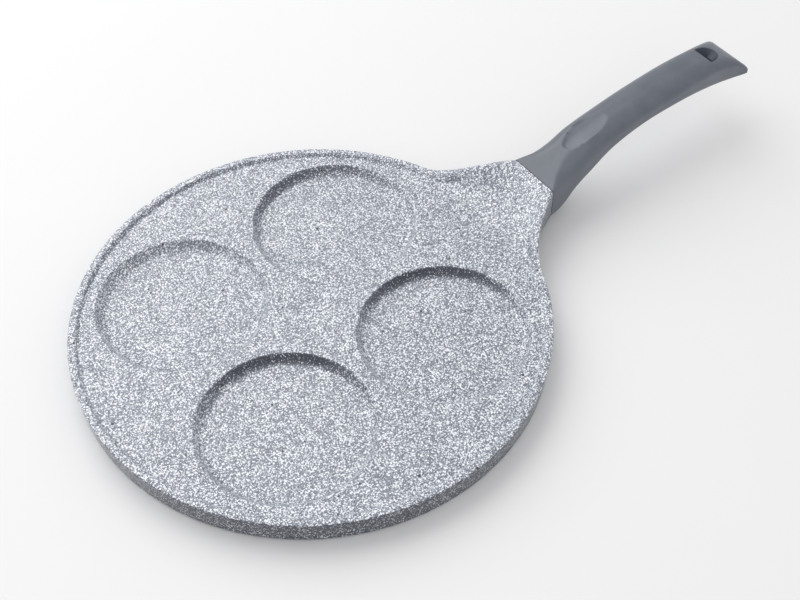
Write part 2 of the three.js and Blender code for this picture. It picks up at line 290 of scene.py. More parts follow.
class Value:
    """A number that varies over a surface: Python's operators on it add Math nodes."""

    def __init__(self, sheet: "Sheet", socket: bpy.types.NodeSocket) -> None:
        """Keeps the sheet that the number belongs to and the socket that gives it."""
        self.sheet = sheet
        self.socket = socket

    def __add__(self, other: "Value | float") -> "Value":
        """Adds."""
        return self.sheet.math("ADD", self, other)

    __radd__ = __add__

    def __mul__(self, other: "Value | float") -> "Value":
        """Multiplies."""
        return self.sheet.math("MULTIPLY", self, other)

    __rmul__ = __mul__

    def __sub__(self, other: "Value | float") -> "Value":
        """Subtracts."""
        return self.sheet.math("SUBTRACT", self, other)

    def __rsub__(self, other: "Value | float") -> "Value":
        """Subtracts this from another."""
        return self.sheet.math("SUBTRACT", other, self)

    def __gt__(self, other: "Value | float") -> "Value":
        """Gives 1 where this is the greater, and 0 elsewhere."""
        return self.sheet.math("GREATER_THAN", self, other)

    def __lt__(self, other: "Value | float") -> "Value":
        """Gives 1 where this is the lesser, and 0 elsewhere."""
        return self.sheet.math("LESS_THAN", self, other)


Input = Value | bpy.types.NodeSocket | float | Sequence[float]
Settings = dict[str, object]
Inputs = dict[str | int, Input]
Colour = tuple[float, float, float]
Way = tuple[float, float, float]


class Sheet:
    """One material and the nodes that make it."""

    def __init__(self, name: str) -> None:
        """Starts a material with a bare surface shader.

        Args:
            name: the material's name.
        """
        self.material = bpy.data.materials.new(name)
        self.material.use_nodes = True
        self.nodes = self.material.node_tree.nodes
        self.shader = next(node for node in self.nodes if node.type == "BSDF_PRINCIPLED")
        self.place = self.node("ShaderNodeTexCoord").outputs["Object"]
        settings = {"rotation_type": "EULER_XYZ"}
        inputs = {"Vector": self.place, "Rotation": TILT}
        self.tilted = self.node("ShaderNodeVectorRotate", settings, inputs).outputs[0]

    def node(
        self, kind: str, settings: Settings | None = None, inputs: Inputs | None = None
    ) -> bpy.types.ShaderNode:
        """Adds a node.

        Args:
            kind: the node's type.
            settings: its own settings, set first.
            inputs: values or links of its sockets, by name or number.

        Returns:
            The new node.
        """
        made = self.nodes.new(kind)
        for key, value in (settings or {}).items():
            setattr(made, key, value)
        for key, value in (inputs or {}).items():
            self.feed(made.inputs[key], value)
        return made

    def feed(self, socket: bpy.types.NodeSocket, value: Input) -> None:
        """Links or sets a socket.

        Args:
            socket: the socket that takes the value.
            value: a varying number, another node's socket or a plain value.
        """
        source = value.socket if isinstance(value, Value) else value
        if isinstance(source, bpy.types.NodeSocket):
            self.material.node_tree.links.new(source, socket)
        else:
            socket.default_value = source

    def math(self, operation: str, *values: Value | float) -> Value:
        """Adds a Math node and gives its result."""
        made = self.node("ShaderNodeMath", {"operation": operation}, dict(enumerate(values)))
        return Value(self, made.outputs[0])

    def noise(self, size: float, detail: float = 2, rough: float = 0.5, place: Input | None = None) -> Value:
        """Adds cloud-like noise.

        Args:
            size: the size of its clouds in millimetres.
            detail: how many finer layers it has.
            rough: how strong the finer layers are.
            place: where it is read, if not at the surface's own place, tilted.

        Returns:
            Its value, about 0.5 on average.
        """
        inputs = {"Vector": place or self.tilted, "Scale": 1 / (size * MM)}
        inputs |= {"Detail": detail, "Roughness": rough}
        return Value(self, self.node("ShaderNodeTexNoise", None, inputs).outputs[0])

    def shifted(self, size: float, reach: float) -> bpy.types.NodeSocket:
        """Gives the surface's tilted place, moved about at random.

        Args:
            size: the size of the moves' clouds in millimetres.
            reach: how far it moves, in millimetres.

        Returns:
            The moved place.
        """
        inputs = {"Vector": self.tilted, "Scale": 1 / (size * MM), "Detail": 1}
        cloud = self.node("ShaderNodeTexNoise", None, inputs).outputs[1]
        centred = self.node("ShaderNodeVectorMath", {"operation": "SUBTRACT"}, {0: cloud, 1: (0.5, 0.5, 0.5)})
        half_way = 2 * reach * MM
        inputs = {0: centred.outputs[0], 1: (half_way, half_way, half_way), 2: self.tilted}
        return self.node("ShaderNodeVectorMath", {"operation": "MULTIPLY_ADD"}, inputs).outputs[0]

    def cells(self, size: float, place: Input) -> tuple[Value, Value, Value]:
        """Adds cells round scattered middles.

        Args:
            size: the cells' size in millimetres.
            place: where they are read.

        Returns:
            The distance from a cell's middle in cell sizes, and two random numbers for each cell.
        """
        made = self.node("ShaderNodeTexVoronoi", None, {"Vector": place, "Scale": 1 / (size * MM)})
        parts = self.node("ShaderNodeSeparateColor", None, {0: made.outputs["Color"]})
        sockets = (made.outputs["Distance"], parts.outputs[0], parts.outputs[1])
        return tuple(Value(self, socket) for socket in sockets)

    def along(self, vector: Input, way: Sequence[float]) -> Value:
        """Gives how far a vector goes in a direction."""
        made = self.node("ShaderNodeVectorMath", {"operation": "DOT_PRODUCT"}, {0: vector, 1: way})
        return Value(self, made.outputs["Value"])

    def radius(self) -> Value:
        """Measures how far the surface is from the frame's upright axis.

        Returns:
            The distance.
        """
        flat = self.node("ShaderNodeVectorMath", {"operation": "MULTIPLY"}, {0: self.place, 1: (1, 1, 0)})
        made = self.node("ShaderNodeVectorMath", {"operation": "LENGTH"}, {0: flat.outputs[0]})
        return Value(self, made.outputs["Value"])

    def band(self, value: Value, low: Value | float, high: Value | float) -> Value:
        """Eases a value between two limits.

        Args:
            value: the value.
            low: where the result is still 0.
            high: where the result has become 1.

        Returns:
            The eased share, from 0 to 1.
        """
        settings = {"interpolation_type": "SMOOTHSTEP"}
        made = self.node("ShaderNodeMapRange", settings, {"Value": value, "From Min": low, "From Max": high})
        return Value(self, made.outputs[0])

    def blend(self, share: Value, low: Input, high: Input) -> bpy.types.NodeSocket:
        """Mixes two colours.

        Args:
            share: how much of the second colour there is.
            low: the first colour.
            high: the second colour.

        Returns:
            The mixed colour's socket.
        """
        low, high = ((*c, 1) if isinstance(c, tuple) else c for c in (low, high))
        made = self.node("ShaderNodeMix", {"data_type": "RGBA"}, {0: share, 6: low, 7: high})
        return made.outputs[2]

    def bump(self, height: Value, depth: float) -> None:
        """Feeds a height into the shader's normal.

        Args:
            height: the height, from 0 to 1.
            depth: how high 1 is, in millimetres.
        """
        made = self.node("ShaderNodeBump", None, {"Height": height, "Distance": depth * MM})
        self.feed(self.shader.inputs["Normal"], made.outputs[0])

    def surface(self, **inputs: Input) -> bpy.types.Material:
        """Sets the shader's sockets, with underscores for the spaces in their names.

        Args:
            inputs: the value or link of each socket.

        Returns:
            The finished material.
        """
        for key, value in inputs.items():
            self.feed(self.shader.inputs[key.replace("_", " ")], value)
        return self.material


@dataclass(frozen=True)
class Dots:
    """One layer of sprayed dots: its cells' size in millimetres, and its dots' radii in cell sizes."""

    cell: float
    least: float
    most: float
    softness: float = 0.05

    def cover(self, sheet: Sheet, place: Input, thinning: Value | float) -> tuple[Value, Value]:
        """Adds the layer to a sheet.

        Args:
            sheet: the material's sheet.
            place: where the dots are read.
            thinning: how much smaller the dots are, in cell sizes.

        Returns:
            The dots' cover, from 0 to 1, and a random number for each dot.
        """
        distance, chance, tone = sheet.cells(self.cell, place)
        inside = self.least + chance * (self.most - self.least) - thinning - distance
        return sheet.band(inside, -self.softness, self.softness), tone


@dataclass(frozen=True)
class StoneCoat:
    """The sprayed non-stick coat: pale dots on grey, with a few black specks, thinner on steep faces.

    Painted shade: walls that face away from the key light's way get a darker ground and smaller, duller dots.
    The way differs between the near and the far half of the pan, and on the far half less shade is painted on
    the wells' walls, though more again towards the handle. The steep outer wall is darker and barer, partly
    the coat's own sparser flecks there and partly painted shade.
    """

    ground: Colour = (0.238, 0.261, 0.32)
    ground_dark: Colour = (0.125, 0.138, 0.173)
    # the ground where shade is painted, and the steep outer wall's own darker ground
    shaded_bare_ground: Colour = (0.034, 0.039, 0.058)
    fleck: Colour = (0.945, 0.968, 1.0)
    fleck_dull: Colour = (0.7, 0.735, 0.81)
    speck: Colour = (0.03, 0.032, 0.038)
    coarse: Dots = Dots(1.25, 0.18, 0.5)
    fine: Dots = Dots(0.7, 0.18, 0.53)
    black: Dots = Dots(5.6, -0.2, 0.15, 0.015)
    wobble_size: float = 1.1
    wobble_reach: float = 0.3
    clump_size: float = 11.0
    clump_strength: float = 0.16
    tone_size: float = 1.0
    tone_band: Point = (0.36, 0.62)
    # how far dots shrink where shade is painted and on the barer outer wall
    thinning: float = 0.22
    # painted shade: how much the dots dim towards the dull fleck colour where shade is painted
    shade_dimming: float = 0.8
    # painted shade: the key light's way on the near half; walls turned away from it are darkened
    shade_light_way: Way = (0.46, 0.888, 0.0)
    far_shade_light_way: Way = (0.02, 1.0, 0.0)
    turned_band: Point = (0.08, 0.88)
    upright_band: Point = (0.1, 0.6)
    # painted shade: how much less is painted on the far half's wells' walls, and how much comes back towards
    # the handle
    far_shade_relief: float = 0.9
    neck_shade_return: float = 0.58
    # painted shade: how far dots shrink on the outer wall turned away from the light
    wall_share: float = 0.52
    wall_radius: float = 128.5
    well_top: float = 15.1
    # painted shade: how dark the lip's inner wall turned away from the light is painted
    lip_share: float = 0.44
    neck_start: float = 112.0
    neck_ease: float = 12.0
    grain_depth: float = 0.03
    relief: tuple[float, float, float] = (0.5, 0.3, 0.2)
    pale_share: float = 0.4
    roughness: float = 0.31
    fleck_gloss: float = 0.05
    tone_roughness: float = 0.1
    refraction: float = 1.6

    def painted_shade_and_bareness(self, sheet: Sheet) -> tuple[Value, Value]:
        """Finds the painted shade on walls turned away from the key light, and the barer steep outer wall.

        Args:
            sheet: the coat's sheet.

        Returns:
            How dark the ground is and how far the dots shrink, each from 0 to 1; both carry painted shade,
            and on the outer wall also the coat's own barer ground.
        """
        facing = sheet.node("ShaderNodeTexCoord").outputs["Normal"]
        forward = sheet.along(sheet.place, ALONG)
        far_side = sheet.along(sheet.place, ACROSS) > 0
        # painted shade: how squarely the surface faces the key light's way, which differs on the far half
        towards = sheet.along(facing, self.shade_light_way) * (1 - far_side)
        towards += sheet.along(facing, self.far_shade_light_way) * far_side
        turned_away = sheet.band(0 - towards, *self.turned_band)
        outside = sheet.radius() > self.wall_radius * MM
        inner = turned_away * (1 - outside)
        sunk = sheet.along(sheet.place, UP) < self.well_top * MM
        # painted shade: less of it on the far half's wells' walls, more again towards the handle
        shade_relief = far_side * (self.far_shade_relief - (forward > 0) * self.neck_shade_return)
        # painted shade on the wells' walls turned away from the light
        wells = inner * sunk * (1 - shade_relief)
        on_neck = sheet.band(forward, self.neck_start * MM, (self.neck_start + self.neck_ease) * MM)
        # painted shade on the lip's inner wall turned away from the light, fading out on the neck
        lip = inner * (1 - on_neck) * self.lip_share * (1 - sunk)
        painted_shade = sheet.math("MAXIMUM", wells, lip)
        # the steep outer wall: partly the coat's own sparser flecks, partly painted shade
        wall = outside * (1 - sheet.band(sheet.along(facing, UP), *self.upright_band))
        shrunk = sheet.math("MAXIMUM", painted_shade, wall * turned_away * self.wall_share)
        return sheet.math("MAXIMUM", painted_shade, wall), shrunk

    def material(self) -> bpy.types.Material:
        """Makes the coat's material.

        Returns:
            The material.
        """
        sheet = Sheet("stone_coat")
        place = sheet.shifted(self.wobble_size, self.wobble_reach)
        # bare carries painted shade, and the outer wall's own barer coat
        bare, shrunk = self.painted_shade_and_bareness(sheet)
        clumps = sheet.noise(self.clump_size, detail=3, rough=0.6) - NOISE_MIDDLE
        clumps *= self.clump_strength
        # dots shrink where shade is painted and on the barer outer wall, and vary with the clumps
        thinning = shrunk * self.thinning - clumps
        coarse, coarse_tone = self.coarse.cover(sheet, place, thinning)
        fine, fine_tone = self.fine.cover(sheet, place, thinning)
        black, _ = self.black.cover(sheet, place, 0)
        tone = sheet.noise(self.tone_size, detail=2, rough=0.6)
        ground = sheet.blend(sheet.band(tone, *self.tone_band), self.ground_dark, self.ground)
        # painted shade: the ground darkens towards the shaded bare ground colour
        ground = sheet.blend(bare, ground, self.shaded_bare_ground)
        # painted shade: the dots dim where shade is painted
        full = 1 - bare * self.shade_dimming
        small = sheet.blend(fine_tone * full, self.fleck_dull, self.fleck)
        paleness = coarse_tone * (1 - self.pale_share) + self.pale_share
        large = sheet.blend(paleness * full, self.fleck_dull, self.fleck)
        coat = sheet.blend(coarse, sheet.blend(fine, ground, small), large)
        colour = sheet.blend(black, coat, self.speck)
        large_rise, small_rise, ground_rise = self.relief
        sheet.bump(coarse * large_rise + fine * small_rise + tone * ground_rise, self.grain_depth)
        rough = self.roughness - coarse * self.fleck_gloss + (tone - NOISE_MIDDLE) * self.tone_roughness
        return sheet.surface(Base_Color=colour, Roughness=rough, IOR=self.refraction)


@dataclass(frozen=True)
class SoftPlastic:
    """The handle's matt soft-touch finish, with a fine grain and faint rubbed patches."""

    colour: Colour = (0.101, 0.114, 0.142)
    rubbed: Colour = (0.122, 0.136, 0.166)
    grain_size: float = 0.28
    patch_size: float = 16.0
    grain_depth: float = 0.018
    grain_share: float = 0.5
    rub_band: Point = (0.3, 0.7)
    roughness: float = 0.36
    grain_roughness: float = 0.2
    patch_roughness: float = 0.12
    shine: float = 0.7

    def material(self) -> bpy.types.Material:
        """Makes the plastic's material.

        Returns:
            The material.
        """
        sheet = Sheet("soft_touch_plastic")
        grain = sheet.noise(self.grain_size, detail=2, rough=0.6)
        patches = sheet.noise(self.patch_size, detail=4, rough=0.6)
        rubbing = sheet.band(patches + (grain - NOISE_MIDDLE) * self.grain_share, *self.rub_band)
        colour = sheet.blend(rubbing, self.colour, self.rubbed)
        sheet.bump(grain, self.grain_depth)
        rough = self.roughness + (grain - NOISE_MIDDLE) * self.grain_roughness
        rough += (patches - NOISE_MIDDLE) * self.patch_roughness
        return sheet.surface(Base_Color=colour, Roughness=rough, Specular_IOR_Level=self.shine)


@dataclass(frozen=True)
class TurnedSteel:
    """The base plate's steel, with fine rings from turning and a faint heat tint."""

    colour: Colour = (0.56, 0.565, 0.57)
    tint: Colour = (0.5, 0.47, 0.41)
    ring_pitch: float = 0.7
    patch_size: float = 45.0
    ring_depth: float = 0.012
    wide_pitches: float = 9.0
    wide_share: float = 0.5
    tint_band: Point = (0.45, 0.75)
    roughness: float = 0.3
    ring_roughness: float = 0.25
    patch_roughness: float = 0.1

    def material(self) -> bpy.types.Material:
        """Makes the steel's material.

        Returns:
            The material.
        """
        sheet = Sheet("turned_steel")
        spread = sheet.node("ShaderNodeCombineXYZ", None, {0: sheet.radius()}).outputs[0]
        rings = sheet.noise(self.ring_pitch, detail=3, rough=0.7, place=spread)
        wide = sheet.noise(self.ring_pitch * self.wide_pitches, detail=2, rough=0.5, place=spread)
        patches = sheet.noise(self.patch_size, detail=3, rough=0.55)
        tinting = sheet.band(patches + (wide - NOISE_MIDDLE) * self.wide_share, *self.tint_band)
        colour = sheet.blend(tinting, self.colour, self.tint)
        sheet.bump(rings, self.ring_depth)
        rough = self.roughness + (rings - NOISE_MIDDLE) * self.ring_roughness
        rough += (patches - NOISE_MIDDLE) * self.patch_roughness
        return sheet.surface(Base_Color=colour, Roughness=rough, Metallic=1.0)


@dataclass(frozen=True)
class ZincPlate:
    """The bright plating of the screw and its washers."""

    colour: Colour = (0.62, 0.64, 0.66)
    dull: Colour = (0.42, 0.43, 0.44)
    patch_size: float = 1.6
    grain_size: float = 0.12
    grain_depth: float = 0.01
    dull_band: Point = (0.45, 0.7)
    roughness: float = 0.26
    patch_roughness: float = 0.3

    def material(self) -> bpy.types.Material:
        """Makes the plating's material.

        Returns:
            The material.
        """
        sheet = Sheet("zinc_plate")
        patches = sheet.noise(self.patch_size, detail=4, rough=0.65)
        grain = sheet.noise(self.grain_size, detail=2, rough=0.5)
        colour = sheet.blend(sheet.band(patches, *self.dull_band), self.colour, self.dull)
        sheet.bump(grain, self.grain_depth)
        rough = self.roughness + (patches - NOISE_MIDDLE) * self.patch_roughness
        return sheet.surface(Base_Color=colour, Roughness=rough, Metallic=1.0)


@dataclass(frozen=True)
class PaleFloor:
    """The studio floor: nearly white, with the faintest unevenness."""

    colour: Colour = (0.86, 0.86, 0.865)
    uneven: Colour = (0.845, 0.845, 0.852)
    patch_size: float = 160.0
    roughness: float = 0.7

    def material(self) -> bpy.types.Material:
        """Makes the floor's material.

        Returns:
            The material.
        """
        sheet = Sheet("pale_floor")
        patches = sheet.noise(self.patch_size, detail=3, rough=0.5)
        colour = sheet.blend(patches, self.colour, self.uneven)
        return sheet.surface(Base_Color=colour, Roughness=self.roughness)


@dataclass(frozen=True)
class Column:
    """One upright slice of the casting, from its middle out to its outline."""

    way: Vector
    reach: float
    slant: float
    neck: float
    ends: bool

    def plan(self, radius: float) -> Vector:
        """Gives the place of a radius on this slice, in plan."""
        return self.way * radius

    def mirrored(self) -> "Column":
        """Gives the same slice on the handle's other side."""
        return Column(Vector((self.way.x, -self.way.y)), self.reach, self.slant, self.neck, self.ends)


@dataclass
class Casting:
    """The pan's one casting: four wells, the lip, the scooped neck, the base and the tang."""

    rim_radius: float = -node_box("pan_body")[0].x
    neck_end_x: float = node_box("handle")[0].x - 0.3
    plate_radius: float = node_box("induction_plate")[1].x
    plate_clearance: float = 0.3
    height: float = 17.0
    wall_draft: float = 1.0
    rim_round: float = 0.8
    foot_round: float = 2.3
    lip_height: float = 1.8
    lip_crest: float = 3.4
    lip_foot: float = 6.0
    skirt_width: float = 7.0
    skirt_lift: float = 0.6
    pad_margin: float = 12.7
    hollow_depth: float = 3.6
    hollow_draft: float = 0.5
    base_round: float = 0.7
    well_count: int = 4
    well_radius: float = 47.6
    well_ring: float = 72.0
    well_depth: float = 5.2
    well_run: float = 6.0
    well_top_ease: float = 1.2
    well_floor_ease: float = 3.4
    well_border: float = 1.0
    apron_radius: float = 122.7
    mouth_radius: float = 117.0
    mouth_angle: float = 14.0
    mouth_turn: float = 16.0
    neck_rise: float = 12.9
    neck_depth: float = 20.5
    neck_half: float = 17.1
    neck_slant: float = 36.0
    neck_pull: float = 12.0
    root_angle: float = 23.1
    root_pull: float = 22.0
    root_bottom: float = 3.0
    edge_power: float = 2.3
    scoop_power: float = 1.45
    scoop_start: float = 0.34
    neck_merge: float = 0.4
    neck_lean: float = 2.5
    neck_round: float = 1.5
    round_growth: float = 3.0
    under_inset: float = 0.5
    tang_size: tuple[float, float, float] = (40.0, 15.0, 8.0)
    tang_slope: float = 19.0
    tang_root: float = 6.0
    tang_round: float = 0.8
    stud_radius: float = 2.3
    stud_gap: float = 0.05
    stud_round: float = 0.35
    hole_rings: tuple[tuple[float, int], ...] = ((13.0, 18), (45.0, 10))
    well_columns: int = 144
    well_rows: int = 17
    stud_columns: int = 24
    rim_columns: int = 124
    flank_columns: int = 30
    end_columns: int = 8
    apron_rows: int = 16
    lip_rows: int = 9
    crest_rows: int = 2
    round_rows: int = 5
    wall_rows: int = 6
    corner_rows: int = 4
    under_rows: int = 6
    foot_rows: int = 6

    @property
    def surface_z(self) -> float:
        """The cooking surface's height."""
        return self.height - self.lip_height

    @property
    def neck_top(self) -> float:
        """The height of the neck's end."""
        return self.height + self.neck_rise

    @property
    def neck_bottom(self) -> float:
        """The height of the underside of the neck's end."""
        return self.neck_top - self.neck_depth

    @property
    def foot_radius(self) -> float:
        """The wall's radius at the foot."""
        return self.rim_radius - self.wall_draft

    @property
    def pocket_z(self) -> float:
        """The height of the plate's pocket."""
        return node_box("induction_plate")[1].z + self.plate_clearance

    @cached_property
    def flank(self) -> list[Vector]:
        """The neck's outline on one side, from the rim to its end."""
        root, slant = math.radians(self.root_angle), math.radians(self.neck_slant)
        start = Vector((math.cos(root), math.sin(root))) * self.rim_radius
        end = Vector((self.neck_end_x, self.neck_half))
        leave = start + Vector((math.sin(root), -math.cos(root))) * self.root_pull
        arrive = end + Vector((-math.cos(slant), math.sin(slant))) * self.neck_pull
        return interpolate_bezier(start, leave, arrive, end, self.flank_columns + 1)

    def half_at(self, x: float) -> float:
        """Reads the neck's outline.

        Args:
            x: a place along the handle's line.

        Returns:
            Half the neck's width there.
        """
        index = min(max(1, bisect_left(self.flank, x, key=lambda point: point.x)), len(self.flank) - 1)
        before, after = self.flank[index - 1], self.flank[index]
        return lerp(before.y, after.y, clamp((x - before.x) / (after.x - before.x)))

    def climb(self, x: float) -> float:
        """Gives the share of the neck's climb at a place along the handle's line."""
        root_x = self.flank[0].x
        return clamp((x - root_x) / (self.neck_end_x - root_x))

    def columns(self) -> list[Column]:
        """Sets out the casting's slices.

        Returns:
            The slices, all the way round from the handle's line.
        """
        half = []
        end_slant = self.slant_at(len(self.flank) - 1)
        for index in range(self.end_columns):
            place = Vector((self.neck_end_x, self.neck_half * index / self.end_columns))
            half.append(Column(place.normalized(), place.length, end_slant, 1.0, True))
        for index in range(self.flank_columns, 0, -1):
            place = self.flank[index]
            share = ease(index / self.flank_columns / self.neck_merge)
            half.append(Column(place.normalized(), place.length, self.slant_at(index), share, False))
        root = math.radians(self.root_angle)
        for index in range(self.rim_columns + 1):
            angle = lerp(root, math.pi, index / self.rim_columns)
            half.append(Column(Vector((math.cos(angle), math.sin(angle))), self.rim_radius, 1.0, 0.0, False))
        return half + [column.mirrored() for column in reversed(half[1:-1])]

    def slant_at(self, index: int) -> float:
        """Measures how squarely a slice meets the neck's outline.

        Args:
            index: the outline's point that the slice ends at.

        Returns:
            The sine of the angle between them.
        """
        before, after = self.flank[max(0, index - 1)], self.flank[min(index + 1, len(self.flank) - 1)]
        along = (after - before).normalized()
        return abs(self.flank[index].normalized().cross(along))

    def top_z(self, column: Column, radius: float) -> float:
        """Gives the height of the casting's upper face.

        Args:
            column: the slice.
            radius: how far out on it.

        Returns:
            The height.
        """
        place = column.plan(radius)
        climb = self.climb(place.x) if abs(place.y) < self.flank[0].y else 0.0
        edge = lerp(self.neck_top, self.height, (1 - climb) ** self.edge_power)
        low = min(edge, lerp(self.surface_z, self.neck_top, climb**self.scoop_power))
        half = self.half_at(place.x)
        inward = (half - abs(place.y) if column.ends else column.reach - radius) * column.slant
        lip = ease((self.lip_foot - inward) / (self.lip_foot - self.lip_crest))
        scoop = clamp(abs(place.y) / (half - self.lip_crest)) ** 2
        wall = lerp(lip, scoop, ease(climb / self.scoop_start))
        return lerp(low, edge, wall) - quarter_drop(inward, self.edge_round(climb))

    def edge_round(self, climb: float) -> float:
        """Gives the radius of the outer edge, which grows from the rim to the neck."""
        return lerp(self.rim_round, self.neck_round, ease(climb * self.round_growth))

    def wall_radius(self, height: float) -> float:
        """Gives the pan's outer wall.

        Args:
            height: a height above the table.

        Returns:
            The wall's radius there.
        """
        foot_z = self.skirt_lift + self.foot_round
        if height < foot_z:
            below = min(foot_z - height, self.foot_round)
            return self.foot_radius - self.foot_round + math.sqrt(self.foot_round**2 - below**2)
        rise = (height - foot_z) / (self.height - self.rim_round - foot_z)
        return self.foot_radius + self.wall_draft * clamp(rise)

    def upper(self, column: Column) -> list[Point]:
        """Sets out the upper part of a slice.

        Args:
            column: the slice.

        Returns:
            Its points from the flat surface over the lip to the outline.
        """
        mouth = abs(math.degrees(math.atan2(column.way.y, column.way.x)))
        inner = lerp(self.mouth_radius, self.apron_radius, ease((mouth - self.mouth_angle) / self.mouth_turn))
        place = column.plan(column.reach)
        edge_round = self.edge_round(self.climb(place.x) if column.neck > 0 else 0.0)
        inset = [lerp(self.lip_foot, self.lip_crest, share) for share in steps(self.lip_rows)]
        inset += [lerp(self.lip_crest, edge_round, share) for share in steps(self.crest_rows)]
        inset += [edge_round * (1 - math.sin(QUARTER * share)) for share in steps(self.round_rows)]
        foot = column.reach - self.lip_foot / column.slant
        radii = [lerp(inner, foot, index / self.apron_rows) for index in range(self.apron_rows + 1)]
        radii += [column.reach - distance / column.slant for distance in inset]
        return [(radius, self.top_z(column, radius)) for radius in radii]

    def under_z(self, x: float) -> float:
        """Gives the height of the neck's underside along the handle's line."""
        return lerp(self.root_bottom, self.neck_bottom, self.climb(x))

    def side(self, column: Column, top: float) -> list[Point]:
        """Gives a slice's points down its wall and, on the neck, back under it to the pan's wall.

        Args:
            column: the slice.
            top: the height where its wall starts.

        Returns:
            The points, ending on the pan's own wall.
        """
        count = self.wall_rows + self.corner_rows + self.under_rows
        join_z = self.under_z(column.plan(self.foot_radius).x)
        plain_z = [lerp(top, join_z, share) for share in steps(count)]
        plain = [(self.wall_radius(height), height) for height in plain_z]
        if column.neck == 0:
            return plain
        place = column.plan(column.reach)
        bottom = self.under_z(place.x)
        corner = self.neck_round
        lean = self.neck_lean * math.sin(math.pi * self.climb(place.x)) / column.slant
        if column.ends:
            bottom += quarter_drop((self.neck_half - abs(place.y)) * column.slant, corner)
            corner = self.plate_clearance
        low = column.reach - lean
        neck = [
            (lerp(column.reach, low, share), lerp(top, bottom + corner, share))
            for share in steps(self.wall_rows)
        ]
        for share in steps(self.corner_rows):
            turn = QUARTER * share
            inward = corner * (1 - math.cos(turn)) / column.slant
            neck.append((low - inward, bottom + corner * (1 - math.sin(turn))))
        start = neck[-1]
        wall = min(self.wall_radius(join_z), start[0] - self.under_inset)
        for share in steps(self.under_rows):
            neck.append((lerp(start[0], wall, share), lerp(start[1], join_z, share)))
        return [
            (lerp(bare[0], arm[0], column.neck), lerp(bare[1], arm[1], column.neck))
            for bare, arm in zip(plain, neck)
        ]

    def foot(self, start: float) -> list[Point]:
        """Sets out the rounded foot.

        Args:
            start: the height on the pan's wall that it starts from.

        Returns:
            Its points, down to the skirt.
        """
        centre_z = self.skirt_lift + self.foot_round
        first = math.asin(max(-1.0, min(0.0, (start - centre_z) / self.foot_round)))
        turns = [lerp(first, -QUARTER, share) for share in steps(self.foot_rows)]
        middle = self.foot_radius - self.foot_round
        return [
            (middle + self.foot_round * math.cos(turn), centre_z + self.foot_round * math.sin(turn))
            for turn in turns
        ]

    @cached_property
    def base(self) -> list[Point]:
        """The underside's profile from the skirt over the hollow and the pad into the plate's pocket."""
        skirt = self.foot_radius - self.skirt_width
        pocket = self.plate_radius + self.plate_clearance
        pad = pocket + self.pad_margin
        fine = self.plate_clearance
        corners = [
            (skirt + self.base_round * 2, self.skirt_lift, 0),
            (skirt, self.skirt_lift, self.base_round),
            (skirt - self.hollow_draft, self.hollow_depth, self.base_round),
            (pad + self.hollow_draft, self.hollow_depth, self.base_round),
            (pad, 0, self.base_round),
            (pocket, 0, fine),
            (pocket, self.pocket_z, 0),
        ]
        return rounded(corners, divisions=4)

    def slice_points(self, column: Column) -> list[Point]:
        """Sets out a whole slice.

        Args:
            column: the slice.

        Returns:
            Its points from the flat surface round to the plate's pocket.
        """
        upper = self.upper(column)
        side = self.side(column, upper[-1][1])
        return upper + side + self.foot(side[-1][1]) + self.base

    def well_profile(self) -> list[Point]:
        """Sets out a well's profile.

        Returns:
            The points of a flat floor, an S-shaped wall and a level border.
        """
        floor_z = self.surface_z - self.well_depth
        floor = self.well_radius - self.well_run
        wall = interpolate_bezier(
            Vector((floor, floor_z)),
            Vector((floor + self.well_floor_ease, floor_z)),
            Vector((self.well_radius - self.well_top_ease, self.surface_z)),
            Vector((self.well_radius, self.surface_z)),
            self.well_rows,
        )
        inner = [(0, floor_z), (floor - self.well_border, floor_z)]
        outer = (self.well_radius + self.well_border, self.surface_z)
        return inner + [(point.x, point.y) for point in wall] + [outer]

    def stud_places(self) -> list[Point]:
        """Sets out the studs that fill the plate's holes.

        Returns:
            Their places in plan.
        """
        places = []
        for inset, count in self.hole_rings:
            radius = self.plate_radius - inset
            for index in range(count):
                angle = TURN * index / count
                places.append((radius * math.cos(angle), radius * math.sin(angle)))
        return places

    def add_top(self, bm: BMesh) -> None:
        """Adds the outer body and the wells, and fills the flat surface between them.

        Args:
            bm: the casting's mesh.
        """
        columns = self.columns()
        slices = [self.slice_points(column) for column in columns]

        def place(row: int, column: int) -> Vector:
            """Gives a vertex's place on a slice."""
            radius, height = slices[column][row]
            return columns[column].plan(radius).to_3d() + UP * height

        rings = tube(bm, len(slices[0]), len(columns), place)
        cap(bm, rings[-1])
        borders = loop(bm, rings[0])
        for index in range(self.well_count):
            angle = TURN * (index + 0.5) / self.well_count
            centre = (self.well_ring * math.cos(angle), self.well_ring * math.sin(angle))
            borders += loop(bm, turned(bm, self.well_profile(), self.well_columns, centre)[-1])
        bmesh.ops.triangle_fill(bm, use_beauty=True, edges=borders, normal=UP)

    def add_studs(self, bm: BMesh) -> None:
        """Adds the cast studs, slightly rounded at their ends.

        Args:
            bm: the casting's mesh.
        """
        corners = [
            (0, self.stud_gap, 0),
            (self.stud_radius, self.stud_gap, self.stud_round),
            (self.stud_radius, self.pocket_z, 0),
        ]
        shape = rounded(corners, divisions=3)
        for centre in self.stud_places():
            cap(bm, turned(bm, shape, self.stud_columns, centre)[-1])

